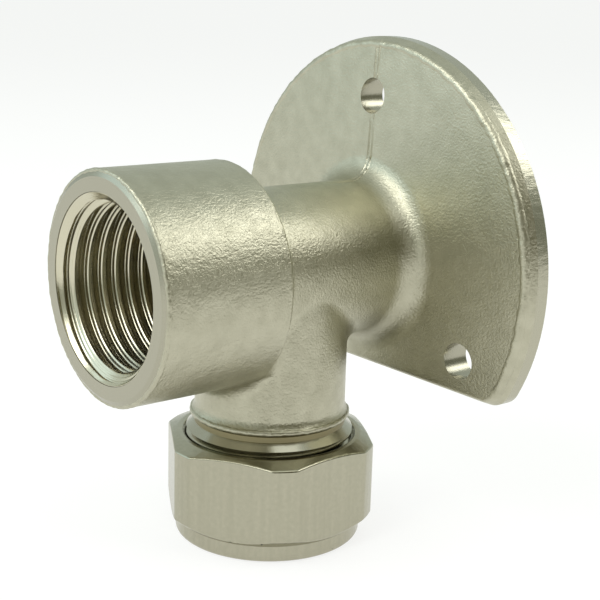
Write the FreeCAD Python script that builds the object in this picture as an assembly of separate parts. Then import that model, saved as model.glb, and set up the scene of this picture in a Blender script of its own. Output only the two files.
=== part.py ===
import FreeCAD, Part
import math
import os

from FreeCAD import Vector

os.makedirs("parts", exist_ok=True)

# Wall plate elbow: a forged brass elbow on a wall flange, with a female thread
# towards the room and a compression end for copper pipe that points down.
# The wall is the plane y = 0, the room is towards -y, and z = 0 is the socket's axis.
# Sizes are in millimetres, and every radius is half of its diameter.

# Wall flange
flange_radius = 27.1
flange_edge = 3.2             # thickness at the rim, before the edge is rounded
face_slope = 3.3              # degrees that the front face rises towards the neck
rim_band = 1.7                # straight band that trimming left next to the wall
rim_draft = 22.0              # degrees of draft on the rest of the rim
rim_round = 0.75
chord_land = 1.8              # from the neck's flare to the straight lower edge
chord_corner = 3.0
screw_circle = 19.9
screw_radius = 1.95           # shank of the wall screw
screw_clearance = 0.25
screw_count = 3

# Socket with the female pipe thread
pipe_thread_radius = 10.478   # crest of the male thread that screws in
pipe_thread_clearance = 0.07
socket_wall = 2.7
socket_setback = 6.9          # from the branch's axis to the rear of the socket
socket_length = 16.5
thread_depth = 14.0
lead_in_depth = 1.5
lead_in_flare = 0.12
mouth_bevel = 0.86            # across the face
mouth_bevel_back = 0.45       # along the socket
rear_round = 0.5

# Neck and waterway
neck_step = 0.35              # neck's radius beyond the branch's
neck_wall = 2.6
flare_radius = 3.2            # neck into flange
shoulder_radius = 3.0         # neck into socket
shoulder_share = 0.96         # most of the step behind the socket that its fillet may take
junction_radius = 2.2         # neck and socket into branch
junction_share = 0.8          # most of the shoulder's fillet that the junction's may take
drill_point = 59.0            # half angle of the drill's tip

# Branch with the compression end
branch_gap = 9.15             # from the wall to the back of the branch
pipe_radius = 7.5
pipe_clearance = 0.1
branch_wall = 1.65
branch_bore = 6.5
pipe_depth = 10.8             # from the branch's end to the pipe's stop
lip_stand = 4.752             # from the socket's wall to the lower edge of the forged skin
lip_flare = 0.55
lip_height = 0.7
lip_round = 0.25
lip_sweep = 1.5
groove_depth = 0.95           # under the crest of the male thread
groove_slope = 0.45           # height of the groove's upper side
groove_width = 1.9            # from the forged skin to the male thread
thread_lead = 0.8             # height of the bevel above the thread
thread_wall = 2.65
thread_length = 6.4
thread_end_bevel = 0.7
seat_mouth = 1.3              # opening of the olive's seat beyond the pipe's bore
seat_angle = 30.0

# Olive: the soft ring that grips the pipe
olive_wall = 1.15
olive_end_wall = 0.35
olive_land = 2.4
seat_gap = 0.25               # from each of the olive's tapers to its seat

# Compression nut
nut_flats = 24.2
nut_corner_radius = 13.2
nut_corner_angle = -28.4      # direction of one corner as it is left after tightening
nut_grip = 5.85               # height of the male thread that is inside the nut
nut_height = 12.8
nut_thread_clearance = 0.1
nut_top_land = 0.95           # flat ring around the mouth
nut_mouth_bevel = 0.35
nut_top_bevel = 20.0          # degrees
nut_foot_bevel = 37.0         # degrees, from the hexagon to the collar
collar_radius = 11.5
collar_height = 2.06
collar_round = 0.6
nut_relief = 0.3              # undercut between the thread and the seat
nut_hole_clearance = 0.2

# Sizes that follow from the ones above
pipe_bore = pipe_radius + pipe_clearance
branch_radius = pipe_bore + branch_wall
branch_offset = branch_gap + branch_radius      # from the wall to the branch's axis
socket_bore = pipe_thread_radius + pipe_thread_clearance
socket_radius = socket_bore + socket_wall
socket_rear = branch_offset + socket_setback
mouth_reach = socket_rear + socket_length
neck_radius = branch_radius + neck_step
waterway_radius = neck_radius - neck_wall
chord_drop = neck_radius + flare_radius + chord_land
shoulder_fillet = min(shoulder_radius, shoulder_share * (socket_radius - neck_radius - rear_round))
junction_fillet = min(junction_radius, junction_share * shoulder_fillet)
male_radius = pipe_bore + thread_wall
lip_drop = socket_radius + lip_stand
thread_drop = lip_drop + groove_width
branch_length = thread_drop + thread_length
pipe_stop_drop = branch_length - pipe_depth
seat_slope = math.tan(math.radians(seat_angle))
seat_shift = seat_gap / math.sin(math.radians(seat_angle))
olive_radius = pipe_bore + olive_wall
olive_taper = (olive_wall - olive_end_wall) / seat_slope
olive_top = branch_length - (pipe_bore + seat_mouth - olive_radius) / seat_slope + seat_shift
olive_foot = olive_top + olive_land
nut_bore = male_radius + nut_thread_clearance
nut_top_drop = branch_length - nut_grip
nut_foot_drop = nut_top_drop + nut_height
nut_seat_drop = olive_foot + seat_shift


def outline(corners, place):
    """Face inside a closed line of (across, along, round) corners, put in space by place."""
    points = [Vector(across, along, 0) for across, along, _ in corners]
    ends = []
    for i, (_, _, radius) in enumerate(corners):
        corner = points[i]
        if radius == 0:
            ends.append((corner, None, corner))
            continue
        back = (points[i - 1] - corner).normalize()
        ahead = (points[(i + 1) % len(points)] - corner).normalize()
        half = back.getAngle(ahead) / 2
        middle = (back + ahead).normalize()
        tangent = radius / math.tan(half)
        crown = corner + middle * (radius / math.sin(half) - radius)
        ends.append((corner + back * tangent, crown, corner + ahead * tangent))
    edges = []
    for i, (start, crown, end) in enumerate(ends):
        if crown is not None:
            edges.append(Part.Arc(place(start), place(crown), place(end)).toShape())
        following = ends[(i + 1) % len(ends)][0]
        edges.append(Part.makeLine(place(end), place(following)))
    return Part.Face(Part.Wire(edges))


def turned_about_socket(corners):
    """Solid turned about the socket's axis, from (radius, y, round) corners."""
    face = outline(corners, lambda p: p)
    return face.revolve(Vector(0, 0, 0), Vector(0, 1, 0), 360)


def turned_about_branch(corners):
    """Solid turned about the branch's axis, from (radius, drop, round) corners."""
    face = outline(corners, lambda p: Vector(p.x, -branch_offset, -p.y))
    return face.revolve(Vector(0, -branch_offset, 0), Vector(0, 0, 1), 360)


def away_from(edge, x, y, direction):
    """Least and greatest distance of an edge from the axis through x, y along direction."""
    axis = Vector(*direction)
    foot = Vector(x, y, 0)
    span = edge.LastParameter - edge.FirstParameter
    steps = 8
    found = []
    for i in range(steps + 1):
        point = edge.valueAt(edge.FirstParameter + span * i / steps) - foot
        found.append((point - axis * point.dot(axis)).Length)
    return min(found), max(found)


def flange_wire(inset, y):
    """The flange's outline, a circle with a straight lower edge, inset and at depth y."""
    radius = flange_radius - inset
    drop = chord_drop - inset
    across = math.sqrt((radius - chord_corner) ** 2 - (drop - chord_corner) ** 2)
    rim = math.atan2(chord_corner - drop, across)
    mid = (rim - math.pi / 2) / 2
    foot = Vector(across, y, -drop)
    turn = Vector(across + chord_corner * math.cos(mid), y, chord_corner - drop + chord_corner * math.sin(mid))
    side = Vector(radius * math.cos(rim), y, radius * math.sin(rim))

    def left(p):
        return Vector(-p.x, p.y, p.z)

    return Part.Wire([
        Part.makeLine(left(foot), foot),
        Part.Arc(foot, turn, side).toShape(),
        Part.Arc(side, Vector(0, y, radius), left(side)).toShape(),
        Part.Arc(left(side), left(turn), left(foot)).toShape(),
    ])


def make_flange():
    """Wall flange with a trimmed band, a drafted band, a rounded edge and a sloping face."""
    slope = math.tan(math.radians(face_slope))
    centre = flange_edge + flange_radius * slope
    inset = (centre - rim_band) * math.tan(math.radians(rim_draft))
    band = Part.Face(flange_wire(0, 0)).extrude(Vector(0, -rim_band, 0))
    drafted = Part.makeLoft([flange_wire(0, -rim_band), flange_wire(inset, -centre)], True, True)
    front = turned_about_socket([
        (0, 0, 0),
        (2 * flange_radius, 0, 0),
        (2 * flange_radius, -flange_edge, 0),
        (flange_radius, -flange_edge, 0),
        (0, -centre, 0),
    ])
    flange = band.fuse(drafted).common(front).removeSplitter()
    edge = [e for e in flange.Edges
            if e.BoundBox.YMax < -rim_band - rim_round / 2 and away_from(e, 0, 0, (0, 1, 0))[0] > neck_radius]
    return flange.makeFillet(rim_round, edge)


def make_socket():
    """Neck and socket, turned in one."""
    return turned_about_socket([
        (0, -rim_band, 0),
        (neck_radius, -rim_band, 0),
        (neck_radius, -socket_rear, shoulder_fillet),
        (socket_radius, -socket_rear, rear_round),
        (socket_radius, mouth_bevel_back - mouth_reach, 0),
        (socket_radius - mouth_bevel, -mouth_reach, 0),
        (0, -mouth_reach, 0),
    ])


def make_branch():
    """Branch: forged stub with a lip, groove, male thread and bevelled end."""
    groove = male_radius - groove_depth
    return turned_about_branch([
        (0, 0, 0),
        (branch_radius, 0, 0),
        (branch_radius, lip_drop - lip_height, lip_sweep),
        (branch_radius + lip_flare, lip_drop - lip_round, lip_round),
        (branch_radius + lip_flare, lip_drop, lip_round / 2),
        (groove, lip_drop + groove_slope, 0),
        (groove, thread_drop - thread_lead, 0),
        (male_radius, thread_drop, 0),
        (male_radius, branch_length - thread_end_bevel, 0),
        (male_radius - thread_end_bevel, branch_length, 0),
        (0, branch_length, 0),
    ])


def make_waterway():
    """Everything that is bored out of the elbow."""
    point = math.tan(math.radians(drill_point))
    bore_end = mouth_reach - thread_depth
    blind_end = branch_offset - waterway_radius
    room_side = turned_about_socket([
        (0, waterway_radius / point - blind_end, 0),
        (waterway_radius, -blind_end, 0),
        (waterway_radius, (socket_bore - waterway_radius) / point - bore_end, 0),
        (socket_bore, -bore_end, 0),
        (socket_bore, lead_in_depth - mouth_reach, 0),
        (socket_bore + lead_in_flare, -mouth_reach, 0),
        (0, -mouth_reach, 0),
    ])
    pipe_side = turned_about_branch([
        (0, 0, 0),
        (branch_bore, 0, 0),
        (branch_bore, pipe_stop_drop, 0),
        (pipe_bore, pipe_stop_drop, 0),
        (pipe_bore, branch_length - seat_mouth / seat_slope, 0),
        (pipe_bore + seat_mouth, branch_length, 0),
        (0, branch_length, 0),
    ])
    return room_side.fuse(pipe_side)


def make_screw_holes():
    """Holes for the wall screws, evenly round the flange with one at the top."""
    holes = []
    for i in range(screw_count):
        angle = math.pi / 2 + 2 * math.pi * i / screw_count
        start = Vector(screw_circle * math.cos(angle), 0, screw_circle * math.sin(angle))
        holes.append(Part.makeCylinder(screw_radius + screw_clearance, socket_rear, start, Vector(0, -1, 0)))
    return Part.makeCompound(holes)


def make_elbow():
    """The forging: flange, neck, socket and branch in one, bored and drilled."""
    plate = make_flange().fuse(make_socket()).removeSplitter()
    root = [e for e in plate.Edges
            if e.BoundBox.YMin > -socket_rear / 2 and away_from(e, 0, 0, (0, 1, 0))[1] < neck_radius + rim_round
            and away_from(e, 0, 0, (0, 1, 0))[0] > neck_radius - rim_round and e.BoundBox.YLength < rim_round]
    plate = plate.makeFillet(flare_radius, root)
    elbow = plate.fuse(make_branch()).removeSplitter()
    crease = []
    for e in elbow.Edges:
        near, far = away_from(e, 0, -branch_offset, (0, 0, 1))
        on_branch = abs(near - branch_radius) < 0.01 and abs(far - branch_radius) < 0.01
        if on_branch and -lip_drop + lip_height + lip_sweep < e.BoundBox.ZMin and e.BoundBox.ZMax < 0:
            crease.append(e)
    elbow = elbow.makeFillet(junction_fillet, crease)
    return elbow.cut(make_waterway()).cut(make_screw_holes())


def make_olive():
    """Compression ring, tapered at both ends and bored for the pipe."""
    end = pipe_bore + olive_end_wall
    return turned_about_branch([
        (pipe_bore, olive_top - olive_taper, 0),
        (end, olive_top - olive_taper, 0),
        (olive_radius, olive_top, 0),
        (olive_radius, olive_foot, 0),
        (end, olive_foot + olive_taper, 0),
        (pipe_bore, olive_foot + olive_taper, 0),
    ])


def make_nut():
    """Hexagon nut with bevelled corners, a turned collar and a seat for the olive."""
    corners = []
    for i in range(6):
        angle = math.radians(nut_corner_angle + 60 * i)
        reach = nut_flats / 2 / math.cos(math.pi / 6)
        corners.append(Vector(reach * math.cos(angle), reach * math.sin(angle) - branch_offset, -nut_foot_drop))
    prism = Part.Face(Part.makePolygon(corners + corners[:1])).extrude(Vector(0, 0, nut_height))
    land = nut_bore + nut_top_land
    top_fall = (nut_corner_radius - land) * math.tan(math.radians(nut_top_bevel))
    foot_rise = (nut_corner_radius - collar_radius) * math.tan(math.radians(nut_foot_bevel))
    collar_drop = nut_foot_drop - collar_height
    envelope = turned_about_branch([
        (0, nut_top_drop, 0),
        (land, nut_top_drop, 0),
        (nut_corner_radius, nut_top_drop + top_fall, 0),
        (nut_corner_radius, collar_drop - foot_rise, 0),
        (collar_radius, collar_drop, 0),
        (collar_radius, nut_foot_drop, collar_round),
        (0, nut_foot_drop, 0),
    ])
    hole = pipe_radius + nut_hole_clearance
    seat_end = nut_seat_drop + (olive_radius - hole) / seat_slope
    seat_start = nut_seat_drop - seat_gap / seat_slope
    bore = turned_about_branch([
        (0, nut_top_drop, 0),
        (nut_bore + nut_mouth_bevel, nut_top_drop, 0),
        (nut_bore, nut_top_drop + nut_mouth_bevel, 0),
        (nut_bore, seat_start - nut_relief, 0),
        (olive_radius + seat_gap, seat_start, 0),
        (hole, seat_end, 0),
        (hole, nut_foot_drop, 0),
        (0, nut_foot_drop, 0),
    ])
    return prism.common(envelope).cut(bore)


make_elbow().exportStep("parts/elbow_body.step")
make_olive().exportStep("parts/olive.step")
make_nut().exportStep("parts/compression_nut.step")
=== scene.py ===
# %% [markdown]
# # Wall plate elbow
# A wall plate elbow is a forged brass fitting that carries a tap: a flange screws to the wall, a short
# neck leads to a socket with a female pipe thread, and a branch takes copper pipe in a compression end.
# The forging is nickel plated. It keeps the grain of its shot-blasted skin, while the mouth, the bores and
# the nut were cut on a lathe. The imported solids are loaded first, so that every piece can be placed
# in their frame: metres, the wall at y = 0, the room towards -y, and the branch pointing down.

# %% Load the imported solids
import math

import bmesh
import bpy
from mathutils import Matrix, Vector, noise


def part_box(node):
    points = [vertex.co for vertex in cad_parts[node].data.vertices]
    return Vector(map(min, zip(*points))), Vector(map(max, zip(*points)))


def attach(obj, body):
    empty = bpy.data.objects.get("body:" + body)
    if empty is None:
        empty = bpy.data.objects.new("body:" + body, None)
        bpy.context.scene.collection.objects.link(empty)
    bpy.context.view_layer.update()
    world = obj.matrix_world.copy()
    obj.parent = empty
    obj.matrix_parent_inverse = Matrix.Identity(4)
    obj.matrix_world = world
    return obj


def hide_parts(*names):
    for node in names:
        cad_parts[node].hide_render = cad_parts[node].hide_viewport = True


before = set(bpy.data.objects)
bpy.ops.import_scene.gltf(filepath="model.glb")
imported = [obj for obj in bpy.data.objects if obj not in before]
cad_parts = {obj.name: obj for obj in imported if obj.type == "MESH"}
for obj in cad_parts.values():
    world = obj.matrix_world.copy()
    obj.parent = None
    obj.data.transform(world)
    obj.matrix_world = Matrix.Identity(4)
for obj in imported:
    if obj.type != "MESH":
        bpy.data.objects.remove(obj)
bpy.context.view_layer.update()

MM = 0.001
scene = bpy.context.scene

# %% [markdown]
# ## Camera
# The photograph was taken from close by, from the right and a little above, so its perspective is strong:
# the socket looks as large as the flange behind it. A camera was fitted to the outlines of the mouth, the
# flange and the nut, and its place is written as a turn round the object, a distance and a lens.
# A matrix made from the three axes of the view keeps the small roll that the photograph has.

# %% Camera
turn, height, roll = math.radians(51.562), math.radians(13.870), math.radians(1.657)
backward = Vector((math.sin(turn) * math.cos(height), -math.cos(turn) * math.cos(height), math.sin(height)))
rightward = Vector((math.cos(turn), math.sin(turn), 0))
upward = backward.cross(rightward)
view_x = math.cos(roll) * rightward + math.sin(roll) * upward
view_y = math.cos(roll) * upward - math.sin(roll) * rightward
distance, aside, below = 148.613 * MM, 8.458 * MM, 3.221 * MM
aim = Vector((0, -25, 0)) * MM + aside * view_x - below * view_y
eye = aim + distance * backward

lens = bpy.data.cameras.new("camera")
lens.sensor_width = 36
lens.lens = 76.17
lens.clip_start = 0.005
lens.clip_end = 100
camera = bpy.data.objects.new("camera", lens)
camera.matrix_world = Matrix.Translation(eye) @ Matrix((view_x, view_y, backward)).transposed().to_4x4()
scene.collection.objects.link(camera)
scene.camera = camera
print("camera at", [round(c / MM, 1) for c in eye], "mm, lens", lens.lens, "mm")

# %% [markdown]
# ## Tools for materials
# Every finish below is a node tree on a Principled shader. One function turns an sRGB colour, as a paint
# chart gives it, into the linear numbers that the renderer works in. Another adds a node, sets its
# values and makes its links, so that a material reads as a list of what feeds what.
# Object coordinates are in metres, so a pattern's scale is one divided by its real size.

# %% Colour and node helpers
def linear(code):
    """Linear colour with alpha from an sRGB hex code."""
    parts = [int(code[i:i + 2], 16) / 255 for i in (0, 2, 4)]
    return [c / 12.92 if c <= 0.04045 else ((c + 0.055) / 1.055) ** 2.4 for c in parts] + [1.0]


def add(tree, kind, inputs=None, **settings):
    """Adds a node: settings are its properties, inputs its socket values or the outputs that feed them."""
    node = tree.nodes.new("ShaderNode" + kind)
    for key, value in settings.items():
        setattr(node, key, value)
    for key, value in (inputs or {}).items():
        if isinstance(value, bpy.types.NodeSocket):
            tree.links.new(value, node.inputs[key])
        else:
            node.inputs[key].default_value = value
    return node


def new_material(name):
    """A material with an empty Principled shader: the material, its tree, the shader and its coordinates."""
    material = bpy.data.materials.new(name)
    material.use_nodes = True
    tree = material.node_tree
    shader = tree.nodes["Principled BSDF"]
    place = add(tree, "TexCoord").outputs["Object"]
    return material, tree, shader, place


print("white is", linear("FFFFFF"), "mid grey is", [round(c, 3) for c in linear("808080")])

# %% [markdown]
# ## Forged nickel
# The elbow's skin was forged, blasted with shot and nickel plated. Plating is thin, so it follows every dent:
# the eye sees a warm grey metal that breaks into sparkling grains wherever a light is mirrored. The dents could be
# modelled, but they are a third of a millimetre wide, so they are bump: a fine grain, wider creases
# that fade from the socket towards the flange, and a few pits. The plate's shade drifts slowly over all of them.

# %% Forged nickel
def forged_nickel():
    """Nickel plate on a shot-blasted forging: satin grey that breaks into sparkling grains in a highlight."""
    material, tree, shader, place = new_material("forged_nickel_plate")
    shader.inputs["Metallic"].default_value = 1.0
    grain = add(tree, "TexNoise", {"Vector": place, "Scale": 1 / (0.28 * MM), "Detail": 2.0, "Roughness": 0.6})
    lean = add(tree, "Mapping", {"Vector": place, "Rotation": (0.5, 0.3, 0.7), "Scale": (1.0, 0.5, 0.8)})
    crease = add(tree, "TexNoise", {"Vector": lean.outputs["Vector"], "Scale": 1 / (0.55 * MM), "Detail": 4.0,
                                    "Roughness": 0.65, "Distortion": 0.3})
    depth = add(tree, "SeparateXYZ", {"Vector": place})
    worn = add(tree, "MapRange", {"Value": depth.outputs["Y"], "From Min": -28 * MM, "From Max": -12 * MM,
                                  "To Min": 1.0, "To Max": 0.2})
    wrinkle = add(tree, "Math", {0: crease.outputs["Fac"], 1: worn.outputs["Result"]}, operation="MULTIPLY")
    pit = add(tree, "TexVoronoi", {"Vector": place, "Scale": 1 / (5 * MM), "Randomness": 1.0})
    dip = add(tree, "MapRange", {"Value": pit.outputs["Distance"], "From Min": 0.01, "From Max": 0.05})

    bump = add(tree, "Bump", {"Height": wrinkle.outputs["Value"], "Strength": 1.0, "Distance": 0.075 * MM})
    bump = add(tree, "Bump", {"Height": grain.outputs["Fac"], "Strength": 1.0, "Distance": 0.062 * MM,
                              "Normal": bump.outputs["Normal"]})
    bump = add(tree, "Bump", {"Height": dip.outputs["Result"], "Strength": 1.0, "Distance": 0.02 * MM,
                              "Normal": bump.outputs["Normal"]})
    tree.links.new(bump.outputs["Normal"], shader.inputs["Normal"])

    shade = add(tree, "TexNoise", {"Vector": place, "Scale": 1 / (2 * MM), "Detail": 4.0})
    colour = add(tree, "ValToRGB", {"Fac": shade.outputs["Fac"]})
    colour.color_ramp.elements[0].position = 0.3
    colour.color_ramp.elements[0].color = linear("B0AD98")
    colour.color_ramp.elements[1].position = 0.7
    colour.color_ramp.elements[1].color = linear("BCB9A4")
    tree.links.new(colour.outputs["Color"], shader.inputs["Base Color"])
    gloss = add(tree, "MapRange", {"Value": crease.outputs["Fac"], "From Min": 0.3, "From Max": 0.7,
                                   "To Min": 0.32, "To Max": 0.42})
    tree.links.new(gloss.outputs["Result"], shader.inputs["Roughness"])
    return material


forged = forged_nickel()
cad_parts["elbow_body"].data.materials[0] = forged
print("made", forged.name, "with", len(forged.node_tree.nodes), "nodes")

# %% [markdown]
# ## Trimmed nickel
# After forging, a trimming die cut the squeezed-out metal off round the flange. It left a bright band with scratches
# across it, in the direction that the die moved. Noise that is stretched along the wall's normal gives such scratches,
# because that is the way the die went.

# %% Trimmed nickel
def trimmed_nickel():
    """Nickel plate on a sheared edge: brighter than the blasted skin and scratched along the cut."""
    material, tree, shader, place = new_material("trimmed_nickel_plate")
    shader.inputs["Metallic"].default_value = 1.0
    cut = add(tree, "Mapping", {"Vector": place, "Scale": (1.0, 0.25, 1.0)})
    scratch = add(tree, "TexNoise", {"Vector": cut.outputs["Vector"], "Scale": 1 / (0.7 * MM), "Detail": 4.0,
                                     "Roughness": 0.65})
    bump = add(tree, "Bump", {"Height": scratch.outputs["Fac"], "Strength": 1.0, "Distance": 0.055 * MM})
    tree.links.new(bump.outputs["Normal"], shader.inputs["Normal"])
    shader.inputs["Base Color"].default_value = linear("B0AD9A")
    shader.inputs["Roughness"].default_value = 0.24
    return material


trimmed = trimmed_nickel()
print("made", trimmed.name)

# %% [markdown]
# ## Brushed nickel
# The nut was cut from hexagon bar and its flats were finished on a belt, so they carry fine lines from top to bottom.
# Such lines are a few hundredths of a millimetre wide, too fine to show, so they are drawn about ten times as coarse.
# A noise squeezed to lines along z does it on all six flats at once.

# %% Brushed nickel
def brushed_nickel():
    """Nickel plate on belt-finished flats: smooth satin with fine upright lines."""
    material, tree, shader, place = new_material("brushed_nickel_plate")
    shader.inputs["Metallic"].default_value = 1.0
    lines = add(tree, "Mapping", {"Vector": place, "Scale": (1.0, 1.0, 0.04)})
    brush = add(tree, "TexNoise", {"Vector": lines.outputs["Vector"], "Scale": 1 / (0.6 * MM), "Detail": 3.0})
    speck = add(tree, "TexNoise", {"Vector": place, "Scale": 1 / (0.5 * MM), "Detail": 3.0})
    bump = add(tree, "Bump", {"Height": brush.outputs["Fac"], "Strength": 1.0, "Distance": 0.03 * MM})
    bump = add(tree, "Bump", {"Height": speck.outputs["Fac"], "Strength": 1.0, "Distance": 0.008 * MM,
                              "Normal": bump.outputs["Normal"]})
    tree.links.new(bump.outputs["Normal"], shader.inputs["Normal"])
    mottle = add(tree, "Math", {0: brush.outputs["Fac"], 1: speck.outputs["Fac"]}, operation="MULTIPLY")
    streak = add(tree, "ValToRGB", {"Fac": mottle.outputs["Value"]})
    streak.color_ramp.elements[0].position = 0.12
    streak.color_ramp.elements[0].color = linear("A8A591")
    streak.color_ramp.elements[1].position = 0.40
    streak.color_ramp.elements[1].color = linear("AFAC98")
    tree.links.new(streak.outputs["Color"], shader.inputs["Base Color"])
    shader.inputs["Roughness"].default_value = 0.23
    return material


brushed = brushed_nickel()
print("made", brushed.name)

# %% [markdown]
# ## Brass
# The olive, the ring that the nut squeezes on the pipe, is plain brass: it has to be softer than the fitting. Only a
# look into the nut's foot shows it. It was turned, so a noise of its height alone gives it rings.

# %% Turned brass
def turned_brass():
    """Soft brass: yellow, with fine turning rings."""
    material, tree, shader, place = new_material("turned_brass")
    shader.inputs["Metallic"].default_value = 1.0
    parts = add(tree, "SeparateXYZ", {"Vector": place})
    rings = add(tree, "TexNoise", {"W": parts.outputs["Z"], "Scale": 1 / (0.2 * MM)}, noise_dimensions="1D")
    bump = add(tree, "Bump", {"Height": rings.outputs["Fac"], "Strength": 1.0, "Distance": 0.01 * MM})
    tree.links.new(bump.outputs["Normal"], shader.inputs["Normal"])
    shader.inputs["Base Color"].default_value = linear("C9A864")
    shader.inputs["Roughness"].default_value = 0.3
    return material


olive_brass = turned_brass()
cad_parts["olive"].data.materials[0] = olive_brass
print("made", olive_brass.name)

# %% [markdown]
# ## Turned nickel
# The mouth, the bores and the compression end were cut on a lathe after forging and plated with the rest.
# A lathe leaves rings so fine that the eye reads them as a softer gleam across the cut. The rings could be painted
# as circles, but each cut needs them about its own axis, on flat faces and on round walls alike. Radius plus
# distance along the axis changes on both, so a one-dimensional noise of that sum gives rings everywhere.
# The groove above the male thread is painted darker and yellower: that colour is painted shade in the groove.

# %% Turned nickel
def turned_nickel(name, centre, turn, colour, roughness):
    """Nickel plate on a lathe-cut surface; centre and turn bring the cut's axis to z."""
    material, tree, shader, place = new_material(name)
    shader.inputs["Metallic"].default_value = 1.0
    own = add(tree, "Mapping", {"Vector": place, "Location": centre, "Rotation": turn}, vector_type="TEXTURE")
    flat = add(tree, "VectorMath", {0: own.outputs["Vector"], 1: (1.0, 1.0, 0.0)}, operation="MULTIPLY")
    radius = add(tree, "VectorMath", {0: flat.outputs["Vector"]}, operation="LENGTH")
    parts = add(tree, "SeparateXYZ", {"Vector": own.outputs["Vector"]})
    along = add(tree, "Math", {0: radius.outputs["Value"], 1: parts.outputs["Z"]}, operation="ADD")
    rings = add(tree, "TexNoise", {"W": along.outputs["Value"], "Scale": 1 / (0.3 * MM), "Detail": 1.0},
                noise_dimensions="1D")
    speck = add(tree, "TexNoise", {"Vector": place, "Scale": 1 / (0.3 * MM), "Detail": 2.0})
    bump = add(tree, "Bump", {"Height": rings.outputs["Fac"], "Strength": 1.0, "Distance": 0.008 * MM})
    bump = add(tree, "Bump", {"Height": speck.outputs["Fac"], "Strength": 1.0, "Distance": 0.004 * MM,
                              "Normal": bump.outputs["Normal"]})
    tree.links.new(bump.outputs["Normal"], shader.inputs["Normal"])
    shader.inputs["Base Color"].default_value = linear(colour)
    shader.inputs["Roughness"].default_value = roughness
    return material


branch_axis = Vector((0, -18.4, 0)) * MM
along_socket = (math.radians(90), 0, 0)
mouth_cut = turned_nickel("turned_nickel_mouth", (0, 0, 0), along_socket, "A9A694", 0.26)
bore_cut = turned_nickel("turned_nickel_bore", (0, 0, 0), along_socket, "CCC7B0", 0.22)
branch_cut = turned_nickel("turned_nickel_branch", branch_axis, (0, 0, 0), "AEAB99", 0.2)
# The groove's darker, yellower colour is painted shade, not the plate's own tone.
groove_painted_shade = turned_nickel("turned_nickel_groove_painted_shade", branch_axis, (0, 0, 0), "8F8768", 0.45)
print("made", mouth_cut.name, bore_cut.name, branch_cut.name, "and", groove_painted_shade.name)

# %% [markdown]
# ## Tools for pieces
# New pieces start as a bmesh and end as an object at the origin. Forged and turned metal is smooth but has real
# edges, so faces are shaded smooth and only edges with a clear angle stay sharp. A Weighted Normal modifier
# lets large faces decide the shading near a fillet, which keeps flat faces looking flat.

# %% Piece helper
def finish_piece(bm, name, materials, body, sharp=28):
    """Object from a bmesh, shaded smooth but for edges over sharp degrees, that rides on a body."""
    for face in bm.faces:
        face.smooth = True
    for edge in bm.edges:
        edge.smooth = not edge.is_manifold or edge.calc_face_angle(0) < math.radians(sharp)
    mesh = bpy.data.meshes.new(name)
    bm.to_mesh(mesh)
    bm.free()
    if "custom_normal" in mesh.attributes:
        mesh.attributes.remove(mesh.attributes["custom_normal"])
    for material in materials:
        mesh.materials.append(material)
    piece = bpy.data.objects.new(name, mesh)
    scene.collection.objects.link(piece)
    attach(piece, body)
    print(name, len(mesh.polygons), "faces")
    return piece


# %% [markdown]
# ## Forging
# The solid has the male thread as a plain cylinder at the crest. The real elbow has a thread that is cut into that
# cylinder. A merged copy of the solid replaces it: below a narrow land, the cylinder is drawn in to the thread's root,
# so that a ridge can be wound on it, and the mouth's inner edge is opened to the thread's countersink.

# %% Forging
male_crest, male_root = 10.25 * MM, 9.5 * MM
thread_top, thread_end, thread_land = -19.9 * MM, -25.6 * MM, 0.4 * MM
mouth, mouth_edge = -41.8 * MM, 10.75 * MM


def off_branch(point):
    """Distance of a point from the branch's axis."""
    return (point - branch_axis).cross(Vector((0, 0, 1))).length


def off_socket(point):
    """Distance of a point from the socket's axis."""
    return point.cross(Vector((0, 1, 0))).length


def everything(bm):
    """All points, edges and faces of a bmesh, as the cutting operators want them."""
    return bm.verts[:] + bm.edges[:] + bm.faces[:]


def merged_copy(node):
    """Bmesh of a solid's mesh with its doubled points merged."""
    bm = bmesh.new()
    bm.from_mesh(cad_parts[node].data)
    bmesh.ops.remove_doubles(bm, verts=bm.verts, dist=0.0005 * MM)
    return bm


bm = merged_copy("elbow_body")
barrel = [f for f in bm.faces if abs(f.normal.z) < 0.5
          and all(abs(off_branch(v.co) - male_crest) < 0.002 * MM for v in f.verts)]
edges = {e for f in barrel for e in f.edges}
verts = {v for f in barrel for v in f.verts}
bmesh.ops.bisect_plane(bm, geom=[*verts, *edges, *barrel], plane_co=(0, 0, thread_top - thread_land),
                       plane_no=(0, 0, 1))
drawn = [v for v in bm.verts if abs(off_branch(v.co) - male_crest) < 0.02 * MM
         and thread_end - 0.01 * MM < v.co.z < thread_top - 0.75 * thread_land]
shrink = male_root / male_crest
bmesh.ops.scale(bm, verts=drawn, vec=(shrink, shrink, 1), space=Matrix.Translation(-branch_axis))
opened = [v for v in bm.verts if v.co.y < mouth + 0.01 * MM and off_socket(v.co) < 11 * MM]
stretch = mouth_edge / off_socket(opened[0].co)
bmesh.ops.scale(bm, verts=opened, vec=(stretch, 1, stretch))
bm.normal_update()
print("drew in", len(drawn), "points of the male cylinder and opened", len(opened), "of the mouth")

# %% [markdown]
# ## Finishes of the forging
# Most of the skin is as the dies and the shot left it, but a lathe cut the mouth, the bores and the compression end,
# a drill the screw holes, and a die the flange's edge. They could be separate pieces, but they are one metal with one
# surface. So each face gets a finish by where it is, and the rules go from the most special place to the rest.

# %% Finishes of the forging
FORGED, MOUTH, BORE, BRANCH, PAINTED_SHADE_GROOVE, TRIMMED = range(6)
finishes = [forged, mouth_cut, bore_cut, branch_cut, groove_painted_shade, trimmed]
groove_foot, lip = -19.2 * MM, -18.02 * MM
bevel_depth = 0.48 * MM
bore_end, bore_step = -9 * MM, -26 * MM
screw_circle, screw_hole = 19.9 * MM, 2.4 * MM
screw_axes = [Vector((math.sin(a), 0, math.cos(a))) * screw_circle for a in (0, 2 * math.pi / 3, -2 * math.pi / 3)]


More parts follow.
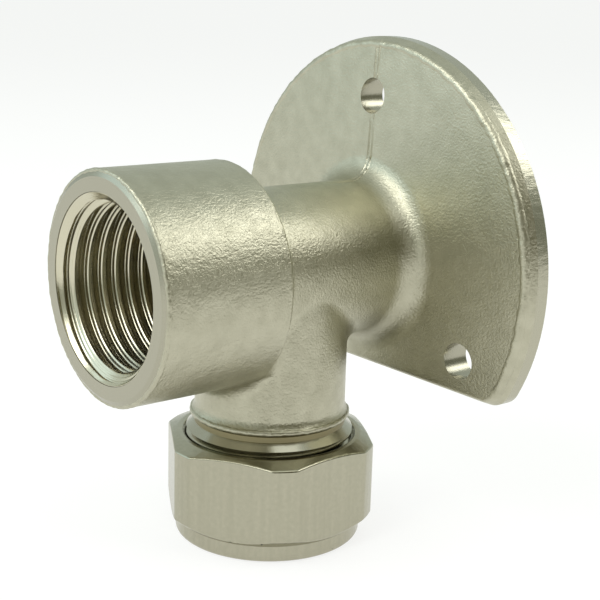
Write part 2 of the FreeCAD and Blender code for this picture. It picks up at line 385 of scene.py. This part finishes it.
def finish_of(face):
    """Which tool made this face, told by where it is; the groove gets painted shade."""
    middle = face.calc_center_median()
    from_socket, from_branch = off_socket(middle), off_branch(middle)
    # The groove's faces take the material that paints its shade.
    if groove_foot < middle.z < lip and 9.1 * MM < from_branch < 9.8 * MM:
        return PAINTED_SHADE_GROOVE
    if middle.z < lip or (middle.z < -8 * MM and from_branch < 9 * MM):
        return BRANCH
    if middle.y < mouth + bevel_depth and from_socket > 10.6 * MM:
        return MOUTH
    if middle.y < bore_end and from_socket < (10.7 * MM if middle.y < bore_step else 9.5 * MM):
        return BORE
    if any(off_socket(middle - axis) < screw_hole for axis in screw_axes) and abs(face.normal.y) < 0.5:
        return MOUTH
    if from_socket > 26.9 * MM and abs(face.normal.y) < 0.1:
        return TRIMMED
    return FORGED


for face in bm.faces:
    face.material_index = finish_of(face)
for index, finish in enumerate(finishes):
    print(finish.name, round(sum(f.calc_area() for f in bm.faces if f.material_index == index) / MM ** 2), "mm2")
forging = finish_piece(bm, "forged_elbow", finishes, "elbow", sharp=20)
forging.modifiers.new("even_shading", "WEIGHTED_NORMAL").keep_sharp = True
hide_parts("elbow_body")

# %% [markdown]
# ## Threads
# A thread is a ridge with a V section that climbs by its pitch in each turn. It could be a picture of lines, but
# the photograph looks into the socket and shows each flank, so the ridge is real: its section is drawn once with a
# few points and spun with a step along the axis. A tap leaves its own fine lines on the flanks, so the points of
# a flank can stray in waves. Where a chamfer cuts the thread off, the ridge's points are held back to the chamfer's
# radius, but a thin skin of the ridge stays inside the wall, so that the mesh is closed.

# %% Threads
flank_angle = 27.5


def wind_thread(root, crest, pitch, first, last, crest_share, parts, around, chatter=0.0):
    """Ridge about the z axis from first to last, with a V section from its root radius to its flat crest.

    Each flank has so many parts, and each turn so many steps around. Chatter is how far the tool strayed in and out
    on a flank, in waves that are four parts long.
    """
    bm = bmesh.new()
    foot = crest_share + abs(crest - root) * math.tan(math.radians(flank_angle)) / pitch
    tip = 0.05 * (crest - root)
    flank = [(root + (crest - tip - root) * i / parts + chatter * (0, 1, 0, -1)[i % 4],
              foot + (crest_share - foot) * i / parts) for i in range(parts + 1)]
    half = flank + [(crest, 0.75 * crest_share)]
    section = [(r, -share) for r, share in half] + half[::-1]
    points = [bm.verts.new((r, 0, first + share * pitch)) for r, share in section]
    edges = [bm.edges.new((points[i - 1], points[i])) for i in range(len(points))]
    turns = (last - first) / pitch
    steps = round(turns * around)
    bmesh.ops.spin(bm, geom=points + edges, cent=(0, 0, 0), axis=(0, 0, 1), dvec=(0, 0, (last - first) / steps),
                   angle=turns * 2 * math.pi, steps=steps, use_merge=False)
    bmesh.ops.holes_fill(bm, edges=[e for e in bm.edges if e.is_boundary], sides=0)
    bmesh.ops.recalc_face_normals(bm, faces=bm.faces)
    return bm


def hold_back(bm, low, high, limit, outward):
    """Keeps an outward ridge inside, or an inward one outside, the radius limit(z), and cuts it off at two heights."""
    pick = min if outward else max
    for v in bm.verts:
        radius = math.hypot(v.co.x, v.co.y)
        scale = pick(radius, limit(v.co.z)) / radius
        v.co.x *= scale
        v.co.y *= scale
    for height, side in ((low, -1), (high, 1)):
        bmesh.ops.bisect_plane(bm, geom=everything(bm), dist=0.0005 * MM, plane_co=(0, 0, height),
                               plane_no=(0, 0, side), clear_outer=True)
        bmesh.ops.holes_fill(bm, edges=[e for e in bm.edges if e.is_boundary], sides=0)
    bmesh.ops.recalc_face_normals(bm, faces=bm.faces)


def ramp(z, z0, r0, z1, r1):
    """Radius that goes from r0 at z0 to r1 at z1 and stays level outside them."""
    share = min(max((z - z0) / (z1 - z0), 0), 1)
    return r0 + share * (r1 - r0)


def finish_thread(bm, name, material, body):
    """Thread piece whose broad flanks keep flat shading beside the narrow crest."""
    piece = finish_piece(bm, name, [material], body, sharp=40)
    piece.modifiers.new("even_shading", "WEIGHTED_NORMAL").keep_sharp = True


print("the flanks of every thread lean", flank_angle, "degrees")

# %% [markdown]
# ## Female pipe thread
# The socket has a half-inch pipe thread, 1.814 mm in pitch. A countersink opens it at the mouth, and inside it
# runs out where the tap stopped. It is wound about z and then turned to the socket's axis.

# %% Female pipe thread
pipe_pitch = 1.814 * MM
pipe_root, pipe_crest = 10.70 * MM, 9.386 * MM
sink_end = 40.45 * MM
skin = 0.03 * MM


def pipe_limit(z):
    """Radius of the countersink that opens the pipe thread at the mouth and of the run-out that ends it inside."""
    inside = ramp(z, 28.0 * MM, pipe_root - skin, 29.2 * MM, pipe_crest)
    return max(inside, min(pipe_crest + z - sink_end, pipe_root - skin))


bm = wind_thread(pipe_root, pipe_crest, pipe_pitch, 14.46 * pipe_pitch, 43.0 * MM, crest_share=0.12, parts=12,
                 around=96, chatter=0.05 * MM)
hold_back(bm, 27.9 * MM, 41.72 * MM, pipe_limit, outward=False)
bmesh.ops.rotate(bm, verts=bm.verts, cent=(0, 0, 0), matrix=Matrix.Rotation(math.radians(90), 3, "X"))
finish_thread(bm, "socket_thread", bore_cut, "elbow")

# %% [markdown]
# ## Compression threads
# The compression end has a finer thread of 1.27 mm, on the branch and in the nut. The nut's ridge is wound half a
# pitch off the branch's, so the two mesh and stay in mesh while the nut turns and travels. A chamfer ends the
# branch's ridge, and the nut's runs out above its seat and below its top.

# %% Compression threads
fine_pitch = 1.27 * MM
male_start, ridge_root = -28.0 * MM, male_root - 0.05 * MM


def male_limit(z):
    """Radius of the chamfer at the branch's end."""
    return ramp(z, -26.3 * MM, ridge_root + skin, thread_end, male_crest)


bm = wind_thread(ridge_root, male_crest, fine_pitch, male_start, -17.8 * MM, crest_share=0.09, parts=3, around=64)
hold_back(bm, -26.29 * MM, thread_top - 0.01 * MM, male_limit, outward=True)
bmesh.ops.translate(bm, verts=bm.verts, vec=branch_axis)
finish_thread(bm, "male_thread", branch_cut, "elbow")

nut_start = male_start - 1.5 * fine_pitch
nut_bore, nut_crest = 10.40 * MM, 9.75 * MM


def nut_limit(z):
    """Radius of the two run-outs of the nut's thread."""
    return max(ramp(z, -21.5 * MM, nut_crest, -20.9 * MM, nut_bore - skin),
               ramp(z, -28.6 * MM, nut_bore - skin, -28.0 * MM, nut_crest))


bm = wind_thread(nut_bore, nut_crest, fine_pitch, nut_start, -19.2 * MM, crest_share=0.09, parts=3, around=64)
hold_back(bm, -28.6 * MM, -20.85 * MM, nut_limit, outward=False)
bmesh.ops.translate(bm, verts=bm.verts, vec=branch_axis)
finish_thread(bm, "nut_thread", branch_cut, "nut")

# %% [markdown]
# ## Nut with broken edges
# The nut was cut from hexagon bar, and barrelling before plating took the sharpness off its edges: each one is a
# thin bright line. The solid has them sharp. A copy of it is merged, its flat triangles are dissolved into whole
# faces, and the bevel operator breaks the edges: by a fifth of a millimetre outside, where they rub, and by half of
# that inside. Bevels that meet can leave faces without area, so these are dissolved at the end.

# %% Nut
inner_break, outer_break, outside = 0.1 * MM, 0.22 * MM, 11.6 * MM
speck = 0.003 * MM
bm = merged_copy("compression_nut")
bmesh.ops.dissolve_limit(bm, angle_limit=math.radians(0.5), verts=bm.verts, edges=bm.edges)
clear = [e for e in bm.edges if e.is_manifold and e.calc_face_angle(0) > math.radians(16) and e.is_convex]
outer = [e for e in clear if all(off_branch(v.co) > outside for v in e.verts)]
inner = [e for e in clear if e not in outer]
bmesh.ops.bevel(bm, geom=inner, offset=inner_break, offset_type="OFFSET", affect="EDGES", segments=2, profile=0.5,
                material=-1, clamp_overlap=False)
outer = [e for e in outer if e.is_valid]
bmesh.ops.bevel(bm, geom=outer, offset=outer_break, offset_type="OFFSET", affect="EDGES", segments=3, profile=0.5,
                material=-1, clamp_overlap=False)
bmesh.ops.remove_doubles(bm, verts=bm.verts, dist=speck)
bmesh.ops.dissolve_degenerate(bm, dist=speck, edges=bm.edges)
bmesh.ops.recalc_face_normals(bm, faces=bm.faces)
print("broke", len(inner), "inner and", len(outer), "outer edges")
nut = finish_piece(bm, "compression_nut_worn", [brushed], "nut")
nut.modifiers.new("even_shading", "WEIGHTED_NORMAL").keep_sharp = True
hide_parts("compression_nut")

# %% [markdown]
# ## Parting ridge
# Forging dies meet along a line, and metal squeezed between them is left on the flange, above and below the top
# screw hole and down the flare onto the neck, as two low ridges side by side. They could be bent wires laid on the
# face, but a strip that is cut out of the forging's own surface follows it exactly. Cuts with bisect_plane
# leave a strip with three lines along it. Lifting the outer two, by an amount that noise changes, makes the ridges,
# and the rest is sunk a little, so that the strip's border is hidden in the metal.

# %% Parting ridge
middle, half, lift, sink, thick = 0.35 * MM, 0.28 * MM, 0.13 * MM, 0.04 * MM, 0.3 * MM
fade_start, fade_end = 7.5 * MM, 11.0 * MM
bm = merged_copy("elbow_body")
for side in (1, -1):
    bmesh.ops.bisect_plane(bm, geom=everything(bm), plane_co=(middle + side * 2 * half, 0, 0), plane_no=(side, 0, 0),
                           clear_outer=True)
for x in (middle - half, middle, middle + half):
    bmesh.ops.bisect_plane(bm, geom=everything(bm), plane_co=(x, 0, 0), plane_no=(1, 0, 0))
bmesh.ops.bisect_plane(bm, geom=everything(bm), plane_co=(0, -fade_end, 0), plane_no=(0, -1, 0), clear_outer=True)
bm.normal_update()


def unwanted(face):
    """Whether a face of the strip is off the front: low, on the rim or the back, or in the screw hole."""
    place = face.calc_center_median()
    in_hole = abs(place.z - screw_circle) < 2.3 * MM and abs(face.normal.z) > 0.9
    return place.z < 9.5 * MM or place.y > -2.6 * MM or abs(face.normal.x) > 0.5 or in_hole


bmesh.ops.delete(bm, geom=[f for f in bm.faces if unwanted(f)], context="FACES")
bm.normal_update()
for v in bm.verts[:]:
    fade = ramp(-v.co.y, fade_start, 1.0, fade_end, 0.0)
    on_crest = abs(abs(v.co.x - middle) - half) < half / 4
    v.co += v.normal * (lift * fade * (0.8 + 0.6 * noise.noise(v.co / (0.9 * MM))) if on_crest else -sink)
bmesh.ops.solidify(bm, geom=bm.faces[:], thickness=thick)
bmesh.ops.recalc_face_normals(bm, faces=bm.faces)
finish_piece(bm, "parting_ridge", [forged], "elbow", sharp=30)

# %% [markdown]
# ## Ragged beads
# Where the dies pressed hardest the forging has a thin ragged bead that catches the light: on the flange's front edge,
# on both edges of the socket and on the lip above the nut. Grain in the material would give its sparkle but not
# its outline, so it is modelled: a small circle, mostly sunk in the metal, is spun round the axis, and noise moves
# its points in and out.

# %% Ragged beads
def ragged_bead(name, radius, along, thick, axis, centre, start, sweep, wander):
    """Bead about an axis through centre; lengths are in millimetres, and wander is how far its surface strays."""
    bm = bmesh.new()
    radius, along = radius * MM, along * MM
    ring = bmesh.ops.create_circle(bm, cap_ends=sweep < 360, radius=thick * MM, segments=20)["verts"]
    across = Vector((1, 0, 0))
    turn = Matrix((across, axis, across.cross(axis))).transposed()
    bmesh.ops.transform(bm, verts=ring, matrix=turn.to_4x4())
    bmesh.ops.translate(bm, verts=ring, vec=across * radius + axis * along)
    bmesh.ops.rotate(bm, verts=ring, cent=(0, 0, 0), matrix=Matrix.Rotation(math.radians(start), 3, axis))
    steps = round(sweep * 1.2)
    bmesh.ops.spin(bm, geom=everything(bm), cent=(0, 0, 0), axis=axis, angle=math.radians(sweep), steps=steps,
                   use_merge=sweep >= 360)
    for v in bm.verts:
        core = v.co - axis * v.co.dot(axis)
        core = core.normalized() * radius + axis * along
        v.co += (v.co - core).normalized() * (wander * MM) * noise.noise(v.co / (0.7 * MM))
    bmesh.ops.translate(bm, verts=bm.verts, vec=centre)
    bmesh.ops.recalc_face_normals(bm, faces=bm.faces)
    finish_piece(bm, name, [forged], "elbow", sharp=60)


to_room, upright, origin = Vector((0, -1, 0)), Vector((0, 0, 1)), Vector()
ragged_bead("rim_bead", 26.05, 2.64, 0.7, to_room, origin, -28.0, 236.0, 0.09)
ragged_bead("shoulder_bead", 12.86, 25.70, 0.4, to_room, origin, -45.0, 270.0, 0.04)
ragged_bead("mouth_bead", 12.95, 41.22, 0.33, to_room, origin, 0.0, 360.0, 0.075)
ragged_bead("lip_bead", 9.5, -17.86, 0.36, upright, branch_axis, 0.0, 360.0, 0.08)

# %% [markdown]
# ## Floor
# The photograph stands on plain white. A floor that is simply white would need strong lamps, which would burn out the
# nickel, so the sheet is a pale grey that also glows a little, but only for rays from the camera and for those that
# a mirror or glass sends on. The metal then mirrors the same white that the eye sees, and the sheet keeps the shadow.

# %% Floor
def make_floor():
    """A large pale sheet at the nut's foot."""
    bm = bmesh.new()
    bmesh.ops.create_circle(bm, cap_ends=True, radius=30.0, segments=64)
    bmesh.ops.translate(bm, verts=bm.verts, vec=(0, 0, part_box("compression_nut")[0].z))
    mesh = bpy.data.meshes.new("floor")
    bm.to_mesh(mesh)
    bm.free()
    floor = bpy.data.objects.new("floor", mesh)
    scene.collection.objects.link(floor)
    material = bpy.data.materials.new("pale_sheet")
    material.use_nodes = True
    tree = material.node_tree
    tree.nodes.clear()
    path = add(tree, "LightPath")
    seen = add(tree, "Math", {0: path.outputs["Is Camera Ray"], 1: path.outputs["Is Glossy Ray"]}, operation="MAXIMUM")
    seen = add(tree, "Math", {0: seen.outputs["Value"], 1: path.outputs["Is Transmission Ray"]}, operation="MAXIMUM")
    lift = add(tree, "Math", {0: seen.outputs["Value"], 1: 0.75}, operation="MULTIPLY")
    sheet = add(tree, "BsdfDiffuse", {"Color": linear("969694")})
    glow = add(tree, "Emission", {"Color": linear("FFFFFF"), "Strength": lift.outputs["Value"]})
    both = add(tree, "AddShader", {0: sheet.outputs["BSDF"], 1: glow.outputs["Emission"]})
    add(tree, "OutputMaterial", {"Surface": both.outputs["Shader"]})
    mesh.materials.append(material)
    return floor


floor = make_floor()
print("floor at", round(floor.data.vertices[0].co.z / MM, 2), "mm")

# %% [markdown]
# ## Lights
# Metal shows what stands round it, so its look comes from the size and place of the lamps. The bright stripe on top of
# the socket mirrors a softbox behind the object on the right, the flare and the bevels mirror one high in front,
# the flange is cool from a window on the left, and a weak one above the camera lifts the tops. Each is written as
# a direction, a size and the brightness of its face, because that brightness is what a mirror shows.

# %% Lights
def softbox(name, azimuth, elevation, distance, width, height, radiance, colour):
    """Area light that faces the object from a direction; azimuth 0 is the room side and 90 is +x."""
    a, e = math.radians(azimuth), math.radians(elevation)
    away = Vector((math.sin(a) * math.cos(e), -math.cos(a) * math.cos(e), math.sin(e)))
    lamp = bpy.data.lights.new(name, "AREA")
    lamp.shape = "RECTANGLE"
    lamp.size = width
    lamp.size_y = height
    lamp.energy = radiance * math.pi * width * height
    lamp.color = linear(colour)[:3]
    light = bpy.data.objects.new(name, lamp)
    place = Matrix.Translation(Vector((0, -20, 0)) * MM + away * distance)
    light.matrix_world = place @ away.to_track_quat("Z", "Y").to_matrix().to_4x4()
    scene.collection.objects.link(light)
    print(name, round(lamp.energy, 2), "W")
    return light


softbox("key_softbox", 141, 41, 0.6, 0.42, 0.24, 3.15, "FFFFFF")
softbox("front_softbox", -3, 43, 0.6, 0.50, 0.34, 3.0, "FFFFFF")
softbox("window_softbox", -40, 22, 0.6, 0.50, 0.36, 0.8, "CFEBFF")
softbox("top_softbox", 82, 63, 0.6, 0.45, 0.36, 0.85, "FFFFFF")

# %% [markdown]
# ## Room
# The rest of the room is a pale sky that turns dark and brownish on the camera's right, as a real room does behind
# the photographer. That dark side makes the brown streaks along the neck and the socket. A direction is compared with
# the dark side's by a dot product, and a ramp gives the colour.

# %% World
def dim_room():
    """A pale room that is darker and warmer on one side."""
    world = bpy.data.worlds.new("dim_room")
    world.use_nodes = True
    tree = world.node_tree
    tree.nodes.clear()
    a, e = math.radians(85), math.radians(5)
    dark_side = (math.sin(a) * math.cos(e), -math.cos(a) * math.cos(e), math.sin(e))
    place = add(tree, "TexCoord").outputs["Generated"]
    facing = add(tree, "VectorMath", {0: place, 1: dark_side}, operation="DOT_PRODUCT")
    share = add(tree, "MapRange", {"Value": facing.outputs["Value"], "From Min": 0.15, "From Max": 0.9},
                interpolation_type="SMOOTHSTEP")
    shade = add(tree, "ValToRGB", {"Fac": share.outputs["Result"]})
    shade.color_ramp.elements[0].color = linear("D0D9D4")
    shade.color_ramp.elements[1].color = linear("58542C")
    sky = add(tree, "Background", {"Color": shade.outputs["Color"], "Strength": 1.0})
    add(tree, "OutputWorld", {"Surface": sky.outputs["Background"]})
    return world


scene.world = dim_room()
print("world", scene.world.name)

# %% [markdown]
# ## Finish
# The Standard view shows colours as they are written.

# %% Finish
scene.view_settings.view_transform = "Standard"
